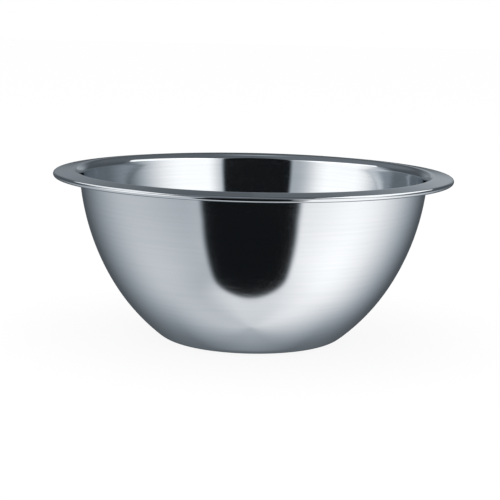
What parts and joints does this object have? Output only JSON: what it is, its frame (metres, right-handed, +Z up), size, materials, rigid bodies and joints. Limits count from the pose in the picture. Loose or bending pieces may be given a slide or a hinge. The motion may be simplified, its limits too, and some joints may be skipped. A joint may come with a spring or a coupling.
{
  "type": "mixing bowl",
  "caption": "Round sheet-metal mixing bowl with curved walls, a small flat base and a sloping brim that ends in a rolled bead.",
  "frame": {"origin": "middle of the plane that the bowl stands on", "axes": "+Z up along the bowl's axis of revolution, out of its mouth; X and Y are any two square directions across it"},
  "size_m": [0.24, 0.24, 0.102],
  "materials": {
    "stainless_steel": "mirror polished"
  },
  "bodies": {
    "root": {"bowl": "stainless_steel"}
  },
  "joints": []
}
